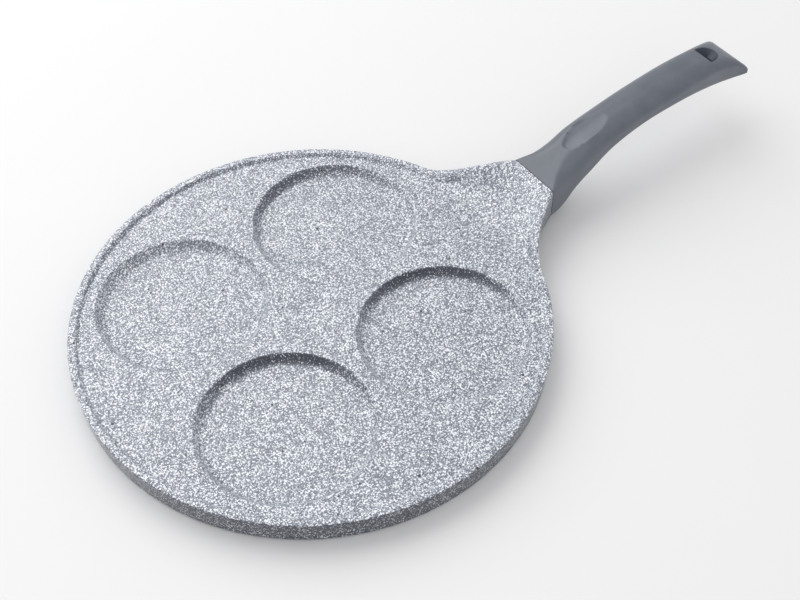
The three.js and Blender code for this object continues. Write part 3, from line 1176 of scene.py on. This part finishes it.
    def add_tang(self, bm: BMesh) -> None:
        """Adds the tongue that the handle is screwed to.

        Args:
            bm: the casting's mesh.
        """
        length, width, thickness = self.tang_size
        made = bmesh.ops.create_cube(bm, size=1)["verts"]
        bmesh.ops.scale(bm, vec=(length, width, thickness), verts=made)
        edges = list({edge for vert in made for edge in vert.link_edges})
        bevel = bmesh.ops.bevel(
            bm, geom=edges, offset=self.tang_round, segments=2, profile=0.5,
            affect="EDGES", material=-1, clamp_overlap=True,
        )
        made = list({vert for face in bevel["faces"] for vert in face.verts})
        lift = Matrix.Rotation(math.radians(-self.tang_slope), 4, "Y")
        middle = Vector((self.neck_end_x, 0, (self.neck_top + self.neck_bottom) / 2))
        shift = Matrix.Translation(Vector((length / 2 - self.tang_root, 0, 0)))
        bmesh.ops.transform(bm, matrix=Matrix.Translation(middle) @ lift @ shift, verts=made)

    def build(self, material: bpy.types.Material) -> None:
        """Builds and dresses the casting.

        Args:
            material: the coat's material.
        """
        bm = bmesh.new()
        self.add_top(bm)
        self.add_studs(bm)
        self.add_tang(bm)
        dress(finished(bm, "coated_casting"), material, Slot.COAT, "pan_body")


@dataclass
class BasePlate:
    """The steel disc in the base, with rings of round holes."""

    casting: Casting
    hole_radius: float = 2.6
    hole_border: float = 0.6
    rim_border: float = 1.0
    edge_round: float = 0.2
    rim_columns: int = 180
    hole_columns: int = 24

    def build(self, material: bpy.types.Material) -> None:
        """Builds and dresses the plate.

        Args:
            material: the steel's material.
        """
        bm = bmesh.new()
        radius = self.casting.plate_radius
        thickness = node_box("induction_plate")[1].z
        wall = [(radius, thickness, 0), (radius, 0, self.edge_round), (radius - self.rim_border, 0, 0)]
        rings = turned(bm, rounded(wall, divisions=3), self.rim_columns)
        tops, bottoms = loop(bm, rings[0]), loop(bm, rings[-1])
        ring = [
            (self.hole_radius + self.hole_border, 0, 0),
            (self.hole_radius, 0, self.edge_round),
            (self.hole_radius, thickness, 0),
        ]
        for centre in self.casting.stud_places():
            rings = turned(bm, rounded(ring, divisions=3), self.hole_columns, centre)
            bottoms += loop(bm, rings[0])
            tops += loop(bm, rings[-1])
        for edges in (tops, bottoms):
            bmesh.ops.triangle_fill(bm, use_beauty=True, edges=edges, normal=UP)
        dress(finished(bm, "base_plate"), material, Slot.STEEL, "induction_plate")


@dataclass(frozen=True)
class Section:
    """One of the handle's sections.

    It holds its share of the length, its crown and underside above those of the neck's end, half its width,
    and how far its corners go to a full ellipse.
    """

    along: float
    crown: float
    under: float
    half: float
    rounding: float


@dataclass(frozen=True)
class Slice:
    """The handle's outline across its length at one place, in millimetres."""

    x: float
    half: float
    top: float
    bottom: float
    corner_y: float
    corner_z: float

    def shrunk(self, inset: float, x: float) -> "Slice":
        """Draws this outline in on all sides.

        Args:
            inset: how far it is drawn in.
            x: where the new outline stands.

        Returns:
            The new outline.
        """
        return Slice(
            x, self.half - inset, self.top - inset, self.bottom + inset,
            max(LEAST_CORNER, self.corner_y - inset), max(LEAST_CORNER, self.corner_z - inset),
        )

    def height(self, y: float, side: Side) -> float:
        """Gives the height of a face of the handle.

        Args:
            y: how far across from the middle.
            side: the crown or the underside.

        Returns:
            The height there.
        """
        flat = self.half - self.corner_y
        share = clamp((abs(y) - flat) / self.corner_y)
        drop = self.corner_z * (1 - math.sqrt(1 - share * share))
        return self.top - drop if side is Side.CROWN else self.bottom + drop


@dataclass
class Grip:
    """The moulded handle, with its thumb rest, hanging hole, screw recess and the pocket for the tang."""

    casting: Casting
    start_x: float = node_box("handle")[0].x
    length: float = node_box("handle")[1].x - node_box("handle")[0].x
    sections: tuple[Section, ...] = (
        Section(0, 0, 0, 17.1, 0),
        Section(0.07, 4.5, -3.2, 15.8, 0.55),
        Section(0.136, 9.7, 2.2, 14.9, 0.82),
        Section(0.214, 15.3, 8.9, 13.7, 0.75),
        Section(0.325, 18.4, 19.1, 13.1, 0.8),
        Section(0.485, 21.8, 25.1, 12.8, 0.8),
        Section(0.68, 24, 26.4, 12.9, 0.75),
        Section(0.84, 23.6, 24.4, 12.4, 0.62),
        Section(0.945, 18.6, 24.7, 13.8, 0.38),
        Section(1, 11.7, 27.1, 16.3, 0.1),
    )
    least_step: float = 0.1
    front_round: float = 0.4
    tip_round: float = 0.8
    rest_at: float = 36.9
    rest_length: float = 30.5
    rest_width: float = 14.5
    rest_depth: float = 2.6
    rest_shape: float = 0.65
    rest_shallow: float = 0.4
    hole_to_tip: float = 26.4
    hole_length: float = 11.8
    hole_width: float = 14.4
    hole_corner: float = 1.5
    hole_corner_pull: float = 0.4
    hole_edge: float = 0.5
    hole_margin: float = 0.9
    hole_corner_points: int = 12
    hole_bow_points: int = 48
    ramp_depth: float = 5.5
    ramp_run: float = 3.6
    recess_radius: float = 5.6
    recess_edge: float = 0.5
    recess_margin: float = 0.8
    recess_columns: int = 48
    shank_radius: float = 2.8
    shank_depth: float = 3.0
    pocket_clearance: float = 0.4
    pocket_round: float = 0.8
    pocket_past: float = 1.0
    rings: int = 216
    arc_columns: int = 15
    flat_columns: int = 12
    side_columns: int = 6
    round_rings: int = 4
    hole_columns: int = 80

    def slice_at(self, share: float) -> Slice:
        """Blends the handle's sections.

        Args:
            share: how far along the run of sections, from 0 to 1.

        Returns:
            The handle's outline there.
        """
        heights = [Vector((s.along, s.crown, s.under)) for s in self.sections]
        widths = [Vector((s.along, s.half, s.rounding)) for s in self.sections]
        along, crown, under = through(heights, share)
        _, half, rounding = through(widths, share)
        top = self.casting.neck_top + crown
        bottom = self.casting.neck_bottom + under
        corner = self.casting.neck_round
        return Slice(
            self.start_x + along * self.length, half, top, bottom,
            lerp(corner, half, rounding), lerp(corner, (top - bottom) / 2, rounding),
        )

    @cached_property
    def slices(self) -> list[Slice]:
        """The handle's outlines from the neck to the tip, drawn in at both ends to round their edges."""
        plain = [self.slice_at(index / self.rings) for index in range(self.rings + 1)]
        turns = [QUARTER * index / self.round_rings for index in range(self.round_rings)]
        front = [self.end_step(plain[0], self.front_round, turn) for turn in turns]
        tip = [self.end_step(plain[-1], -self.tip_round, turn) for turn in reversed(turns)]
        body = [s for s in plain if front[-1].x + self.least_step < s.x < tip[0].x - self.least_step]
        return front + body + tip

    @staticmethod
    def end_step(end: Slice, radius: float, turn: float) -> Slice:
        """Gives one step of the rounded edge at an end of the handle.

        Args:
            end: the handle's first or last outline.
            radius: the edge's radius, below 0 at the tip, where the handle goes on against +X.
            turn: how far the edge has turned, in radians.

        Returns:
            The outline, drawn in.
        """
        return end.shrunk(abs(radius) * (1 - math.sin(turn)), end.x + radius * (1 - math.cos(turn)))

    def slice_by_x(self, x: float) -> Slice:
        """Gives the outline nearest to a place along the handle."""
        index = bisect_left(self.slices, x, key=lambda s: s.x)
        return self.slices[min(max(index, 0), len(self.slices) - 1)]

    def height(self, x: float, y: float, side: Side) -> float:
        """Gives the height of a face of the handle.

        Args:
            x: a place along the handle.
            y: how far across from its middle.
            side: the crown or the underside.

        Returns:
            The height there.
        """
        index = min(max(1, bisect_left(self.slices, x, key=lambda s: s.x)), len(self.slices) - 1)
        before, after = self.slices[index - 1], self.slices[index]
        share = clamp((x - before.x) / (after.x - before.x))
        return lerp(before.height(y, side), after.height(y, side), share)

    @cached_property
    def stations(self) -> list[tuple[float, float, float, float]]:
        """The places round an outline: across and up for its flats, then across and up for its corners."""
        round_turn = []
        for quadrant in range(4):
            angle = QUARTER * quadrant
            flat_from = Vector((math.cos(angle), math.sin(angle)))
            aside = Vector((-flat_from.y, flat_from.x))
            flats = self.flat_columns if quadrant % 2 else self.side_columns
            for index in range(flats):
                flat = flat_from + aside * lerp(-1, 1, index / flats)
                round_turn.append((flat.x, flat.y, flat_from.x, flat_from.y))
            for index in range(self.arc_columns):
                turn = angle + QUARTER * index / self.arc_columns
                corner = flat_from + aside
                round_turn.append((corner.x, corner.y, math.cos(turn), math.sin(turn)))
        return round_turn

    def rest_drop(self, x: float, y: float) -> float:
        """Gives the thumb rest's depth, which is greatest near the pan.

        Args:
            x: a place along the handle.
            y: how far across from its middle.

        Returns:
            The depth there.
        """
        along = (x - self.start_x - self.rest_at) / (self.rest_length / 2)
        across = y / (self.rest_width / 2)
        bowl = clamp(1 - along * along - across * across)
        return self.rest_depth * bowl**self.rest_shape * lerp(1.0, self.rest_shallow, (along + 1) / 2)

    def place(self, row: int, column: int) -> Vector:
        """Gives a vertex's place on the handle's skin.

        Args:
            row: which outline it is on.
            column: where it is round the outline.

        Returns:
            The place.
        """
        outline = self.slices[row]
        flat_y, flat_z, corner_y, corner_z = self.stations[column]
        half_height = (outline.top - outline.bottom) / 2
        y = flat_y * (outline.half - outline.corner_y) + corner_y * outline.corner_y
        z = flat_z * (half_height - outline.corner_z) + corner_z * outline.corner_z
        drop = self.rest_drop(outline.x, y) if corner_z > 0 else 0.0
        return Vector((outline.x, y, outline.bottom + half_height + z - drop))

    def opened(self, bm: BMesh, side: Side, low: Vector, high: Vector) -> list[BMEdge]:
        """Takes a window of faces out of the handle's skin.

        Args:
            bm: the handle's mesh.
            side: the face that the window is in.
            low: the window's lowest corner in plan.
            high: the window's highest corner in plan.

        Returns:
            The edges round the window.
        """
        def within(face: BMFace) -> bool:
            """Tells whether a face lies in the window.

            Args:
                face: the face.

            Returns:
                Whether it does.
            """
            middle = face.calc_center_median()
            inside = low.x < middle.x < high.x and low.y < middle.y < high.y
            return inside and (middle.z - self.middle_z(middle.x)) * side.value > 0

        window = [face for face in bm.faces if within(face)]
        rim = [edge for face in window for edge in face.edges]
        border = [edge for edge in set(rim) if rim.count(edge) == 1]
        bmesh.ops.delete(bm, geom=window, context="FACES")
        return border

    def middle_z(self, x: float) -> float:
        """Gives the height half-way between the crown and the underside."""
        outline = self.slice_by_x(x)
        return (outline.top + outline.bottom) / 2

    @cached_property
    def hole_outline(self) -> list[tuple[Vector, Vector]]:
        """The hanging hole's outline, flat towards the pan: even steps and their outward directions."""
        flat_x = self.start_x + self.length - self.hole_to_tip
        half = self.hole_width / 2
        middle = Vector((flat_x + self.hole_corner, 0))
        bow = Vector((self.hole_length - self.hole_corner, half))
        path = [Vector((flat_x, 0))]
        corner = Vector((flat_x, -half))
        pull = self.hole_corner * self.hole_corner_pull
        path += interpolate_bezier(
            corner + Vector((0, self.hole_corner)), corner + Vector((0, pull)),
            corner + Vector((pull, 0)), corner + Vector((self.hole_corner, 0)),
            self.hole_corner_points,
        )
        for index in range(1, self.hole_bow_points):
            turn = lerp(-QUARTER, 0, index / self.hole_bow_points)
            path.append(middle + Vector((bow.x * math.cos(turn), bow.y * math.sin(turn))))
        path.append(middle + Vector((bow.x, 0)))
        path += [Vector((point.x, -point.y)) for point in reversed(path[:-1])]
        lengths = [0.0]
        for before, after in zip(path, path[1:]):
            lengths.append(lengths[-1] + (after - before).length)
        spaced = []
        for index in range(self.hole_columns):
            aim = lengths[-1] * index / self.hole_columns
            spot = min(max(1, bisect_left(lengths, aim)), len(path) - 1)
            share = (aim - lengths[spot - 1]) / max(1e-9, lengths[spot] - lengths[spot - 1])
            spaced.append(path[spot - 1].lerp(path[spot], share))
        outward = []
        for index, _ in enumerate(spaced):
            along = spaced[(index + 1) % len(spaced)] - spaced[index - 1]
            outward.append(Vector((along.y, -along.x)).normalized())
        return list(zip(spaced, outward))

    def edge_rows(self, radius: float) -> list[Point]:
        """Sets out an opening's rounded edge.

        Args:
            radius: the edge's radius.

        Returns:
            How far out and how deep each of its steps is.
        """
        turns = [QUARTER * index / self.round_rings for index in range(self.round_rings + 1)]
        return [(radius * (1 - math.sin(turn)), radius * (1 - math.cos(turn))) for turn in turns]

    def add_hanging_hole(self, bm: BMesh) -> None:
        """Cuts the hanging hole through the handle, with rounded edges and a ramp on its tip side.

        Args:
            bm: the handle's mesh.
        """
        points = [point for point, _ in self.hole_outline]
        margin = Vector((1, 1)) * (self.hole_edge + self.hole_margin)
        low = Vector((min(p.x for p in points), min(p.y for p in points))) - margin
        high = Vector((max(p.x for p in points), max(p.y for p in points))) + margin
        crown = self.opened(bm, Side.CROWN, low, high)
        under = self.opened(bm, Side.UNDER, low, high)
        edge = self.edge_rows(self.hole_edge)
        rows = [(Side.CROWN, *row, 0.0) for row in edge] + [(Side.CROWN, 0.0, self.ramp_depth, self.ramp_run)]
        rows += [(Side.UNDER, *row, self.ramp_run) for row in reversed(edge)]

        def place(row: int, column: int) -> Vector:
            """Gives a vertex's place on the hole's wall.

            Args:
                row: which row of the wall it is on.
                column: where it is round the hole.

            Returns:
                The place.
            """
            side, outset, depth, run = rows[row]
            point, outward = self.hole_outline[column]
            plan = point + outward * outset - Vector((run * max(0.0, outward.x), 0))
            return Vector((plan.x, plan.y, self.height(plan.x, plan.y, side) - side.value * depth))

        wall = tube(bm, len(rows), self.hole_columns, place)
        bmesh.ops.bridge_loops(bm, edges=crown + loop(bm, wall[0]))
        bmesh.ops.bridge_loops(bm, edges=under + loop(bm, wall[-1]))

    def add_screw_recess(self, bm: BMesh) -> None:
        """Sinks the screw's recess into the underside.

        Args:
            bm: the handle's mesh.
        """
        screw_low, screw_high = node_box("handle_screw")
        middle = (screw_low + screw_high) / 2
        seat = node_box("flat_washer")[1].z + self.casting.plate_clearance
        reach = Vector((1, 1)) * (self.recess_radius + self.recess_edge + self.recess_margin)
        border = self.opened(bm, Side.UNDER, middle.xy - reach, middle.xy + reach)
        edge = self.edge_rows(self.recess_edge)
        rows = [(self.recess_radius + outset, depth, None) for outset, depth in edge]
        rows += [(self.recess_radius, 0, seat), (self.shank_radius, 0, seat)]
        rows.append((self.shank_radius, 0, seat + self.shank_depth))

        def place(row: int, column: int) -> Vector:
            """Gives a vertex's place in the recess.

            Args:
                row: which row of the recess it is on.
                column: where it is round the screw.

            Returns:
                The place.
            """
            radius, depth, fixed = rows[row]
            angle = TURN * column / self.recess_columns
            plan = middle.xy + Vector((math.cos(angle), math.sin(angle))) * radius
            height = fixed if fixed is not None else self.height(plan.x, plan.y, Side.UNDER) + depth
            return Vector((plan.x, plan.y, height))

        wall = tube(bm, len(rows), self.recess_columns, place)
        bmesh.ops.bridge_loops(bm, edges=border + loop(bm, wall[0]))
        cap(bm, wall[-1])

    def add_pocket(self, bm: BMesh, front: Ring) -> None:
        """Opens the front for the tang.

        Args:
            bm: the handle's mesh.
            front: the skin's first ring.
        """
        casting = self.casting
        length, width, thickness = casting.tang_size
        half_width = width / 2 + self.pocket_clearance
        half_height = thickness / 2 + self.pocket_clearance
        corner = self.pocket_round
        slope = math.radians(casting.tang_slope)
        root = Vector((casting.neck_end_x, 0, (casting.neck_top + casting.neck_bottom) / 2))
        along = Vector((math.cos(slope), 0, math.sin(slope)))
        upward = Vector((-math.sin(slope), 0, math.cos(slope)))

        def place(row: int, column: int) -> Vector:
            """Gives a vertex's place in the pocket.

            Args:
                row: 0 at the pocket's mouth and 1 at its end.
                column: where it is round the pocket.

            Returns:
                The place.
            """
            flat_y, flat_z, corner_y, corner_z = self.stations[column]
            y = flat_y * (half_width - corner) + corner_y * corner
            lift = flat_z * (half_height - corner) + corner_z * corner
            base = root + upward * lift
            far = length - casting.tang_root + self.pocket_past
            reach = (self.start_x - base.x) / along.x if row == 0 else far
            return base + along * reach + Vector((0, y, 0))

        wall = tube(bm, 2, len(self.stations), place)
        bmesh.ops.bridge_loops(bm, edges=loop(bm, front) + loop(bm, wall[0]))
        cap(bm, wall[1])

    def build(self, material: bpy.types.Material) -> None:
        """Builds and dresses the handle.

        Args:
            material: the plastic's material.
        """
        bm = bmesh.new()
        rings = tube(bm, len(self.slices), len(self.stations), self.place)
        cap(bm, rings[-1])
        self.add_pocket(bm, rings[0])
        self.add_hanging_hole(bm)
        self.add_screw_recess(bm)
        dress(finished(bm, "soft_handle"), material, Slot.PLASTIC, "handle")


@dataclass
class Fastening:
    """The handle's screw, put in from below, with its lock washer and flat washer."""

    head_radius: float = 4.6
    head_height: float = 2.8
    head_round: float = 1.3
    tip_round: float = 0.4
    shank_radius: float = 2.5
    cross_length: float = 5.2
    cross_width: float = 1.2
    cross_depth: float = 1.6
    bore_radius: float = 2.8
    ring_round: float = 0.2
    split: float = 10.0
    columns: int = 48

    @staticmethod
    def centre() -> Vector:
        """Gives the screw's middle in plan."""
        low, high = node_box("handle_screw")
        return ((low + high) / 2).xy

    def screw(self) -> bpy.types.Object:
        """Builds the screw with its cross recess.

        Returns:
            The screw.
        """
        low, high = node_box("handle_screw")
        top = low.z + self.head_height
        corners = [
            (0, low.z, 0),
            (self.head_radius, low.z, self.head_round),
            (self.head_radius, top, self.ring_round),
            (self.shank_radius, top, 0),
            (self.shank_radius, high.z, self.tip_round),
            (0, high.z, 0),
        ]
        bm = bmesh.new()
        turned(bm, rounded(corners, divisions=5), self.columns, self.centre())
        piece = finished(bm, "handle_screw_plated")
        cutter = bmesh.new()
        slot = (self.cross_length, self.cross_width, 2 * self.cross_depth)
        for turn in (0, QUARTER):
            made = bmesh.ops.create_cube(cutter, size=1)["verts"]
            bmesh.ops.scale(cutter, vec=slot, verts=made)
            bmesh.ops.rotate(cutter, cent=(0, 0, 0), matrix=Matrix.Rotation(turn, 3, "Z"), verts=made)
            bmesh.ops.translate(cutter, vec=(*self.centre(), low.z), verts=made)
            bmesh.ops.scale(cutter, vec=(MM, MM, MM), verts=made)
            self.carve(piece, cutter)
            cutter.clear()
        cutter.free()
        piece.data.set_sharp_from_angle(angle=SHARP_ANGLE)
        return piece

    @staticmethod
    def carve(piece: bpy.types.Object, cutter: BMesh) -> None:
        """Takes a shape out of a piece.

        Args:
            piece: the piece that is cut.
            cutter: the shape that is taken out, in metres.
        """
        mesh = bpy.data.meshes.new("cutter")
        cutter.to_mesh(mesh)
        tool = bpy.data.objects.new("cutter", mesh)
        bpy.context.scene.collection.objects.link(tool)
        modifier = piece.modifiers.new("recess", "BOOLEAN")
        modifier.operation = "DIFFERENCE"
        modifier.object = tool
        shown = piece.evaluated_get(bpy.context.evaluated_depsgraph_get())
        piece.data = bpy.data.meshes.new_from_object(shown)
        piece.modifiers.clear()
        bpy.data.objects.remove(tool)

    def ring(self, node: str, name: str, open_angle: float) -> bpy.types.Object:
        """Builds a washer round the screw.

        Args:
            node: the CAD node that gives its height and radius.
            name: the piece's name.
            open_angle: the width of its split in degrees, or 0.

        Returns:
            The washer.
        """
        low, high = node_box(node)
        radius = (high.y - low.y) / 2
        fine = self.ring_round
        inner = self.bore_radius
        corners = [
            (inner, (low.z + high.z) / 2, 0), (inner, low.z, fine), (radius, low.z, fine),
            (radius, high.z, fine), (inner, high.z, fine), (inner, (low.z + high.z) / 2 + fine / 4, 0),
        ]
        profile = rounded(corners, divisions=3)
        bm = bmesh.new()
        middle = self.centre().to_3d()
        start = math.radians(open_angle) / 2
        way = Vector((math.cos(start), math.sin(start), 0))
        chain = [bm.verts.new(middle + way * distance + UP * height) for distance, height in profile]
        links = [bm.edges.new(pair) for pair in zip(chain, chain[1:] + chain[:1])]
        section = [bm.faces.new(chain)] if open_angle else []
        bmesh.ops.spin(
            bm, geom=chain + links + section, cent=middle, axis=UP, angle=TURN - 2 * start,
            steps=self.columns, use_merge=not open_angle,
        )
        return finished(bm, name)

    def build(self, material: bpy.types.Material) -> None:
        """Builds and dresses the screw and both washers.

        Args:
            material: the plating's material.
        """
        dress(self.screw(), material, Slot.ZINC, "handle_screw")
        dress(self.ring("lock_washer", "lock_washer_plated", self.split), material, Slot.ZINC, "lock_washer")
        dress(self.ring("flat_washer", "flat_washer_plated", 0), material, Slot.ZINC, "flat_washer")


@dataclass
class Lamp:
    """One soft light: where it stands, where it points and its size in metres, its power and its colour."""

    name: str
    place: tuple[float, float, float]
    aim: tuple[float, float, float]
    size: float
    power: float
    colour: Colour = (1.0, 1.0, 1.0)

    def build(self) -> None:
        """Adds the light."""
        data = bpy.data.lights.new(self.name, "AREA")
        data.shape = "DISK"
        data.size = self.size
        data.energy = self.power
        data.color = self.colour
        lamp = bpy.data.objects.new(self.name, data)
        lamp.location = self.place
        lamp.rotation_euler = (Vector(self.aim) - Vector(self.place)).to_track_quat("-Z", "Y").to_euler()
        bpy.context.scene.collection.objects.link(lamp)


@dataclass
class Studio:
    """The floor, the lights and the camera, in metres, with the camera's angles in degrees."""

    target: tuple[float, float, float] = (0.053245, -0.008531, 0.0)
    azimuth: float = -36.992
    elevation: float = 49.677
    distance: float = 0.753305
    focal_pixels: float = 1340.7
    image_width: float = 800.0
    sensor_width: float = 36.0
    floor_half: float = 3.0
    sky: float = 0.68
    lamps: list[Lamp] = field(default_factory=lambda: [
        Lamp("key_light", (-0.2, 1.25, 1.3), (0.0, 0.0, 0.0), 2.2, 20.6),
        Lamp("fill_light", (-0.7, -1.1, 1.6), (0.0, 0.0, 0.0), 2.0, 4.5),
    ])

    def add_camera(self) -> None:
        """Adds the camera at the photograph's viewing angle."""
        data = bpy.data.cameras.new("camera")
        data.sensor_width = self.sensor_width
        data.lens = self.focal_pixels / self.image_width * self.sensor_width
        camera = bpy.data.objects.new("camera", data)
        turn, lift = math.radians(self.azimuth), math.radians(self.elevation)
        back = Vector((math.sin(turn) * math.cos(lift), -math.cos(turn) * math.cos(lift), math.sin(lift)))
        camera.location = Vector(self.target) + back * self.distance
        camera.rotation_euler = (-back).to_track_quat("-Z", "Y").to_euler()
        bpy.context.scene.collection.objects.link(camera)
        bpy.context.scene.camera = camera

    def add_floor(self, material: bpy.types.Material) -> None:
        """Adds the floor.

        Args:
            material: the floor's material.
        """
        bm = bmesh.new()
        bmesh.ops.create_grid(bm, x_segments=8, y_segments=8, size=self.floor_half / MM)
        floor = finished(bm, "floor")
        floor.data.materials.append(material)

    def add_sky(self) -> None:
        """Adds the even light that comes from all round."""
        world = bpy.data.worlds.new("studio")
        world.use_nodes = True
        background = world.node_tree.nodes["Background"]
        background.inputs["Color"].default_value = (1.0, 1.0, 1.0, 1.0)
        background.inputs["Strength"].default_value = self.sky
        bpy.context.scene.world = world

    def build(self, floor_material: bpy.types.Material) -> None:
        """Builds the whole studio.

        Args:
            floor_material: the floor's material.
        """
        self.add_camera()
        self.add_floor(floor_material)
        self.add_sky()
        for lamp in self.lamps:
            lamp.build()
        bpy.context.scene.view_settings.view_transform = "Standard"


def main() -> None:
    """Builds the pan and its studio, piece by piece."""
    logging.basicConfig(level=logging.INFO, format="%(name)s: %(message)s")
    Studio().build(PaleFloor().material())
    casting = Casting()
    casting.build(StoneCoat().material())
    BasePlate(casting).build(TurnedSteel().material())
    Grip(casting).build(SoftPlastic().material())
    Fastening().build(ZincPlate().material())


if __name__ == "__main__":
    main()
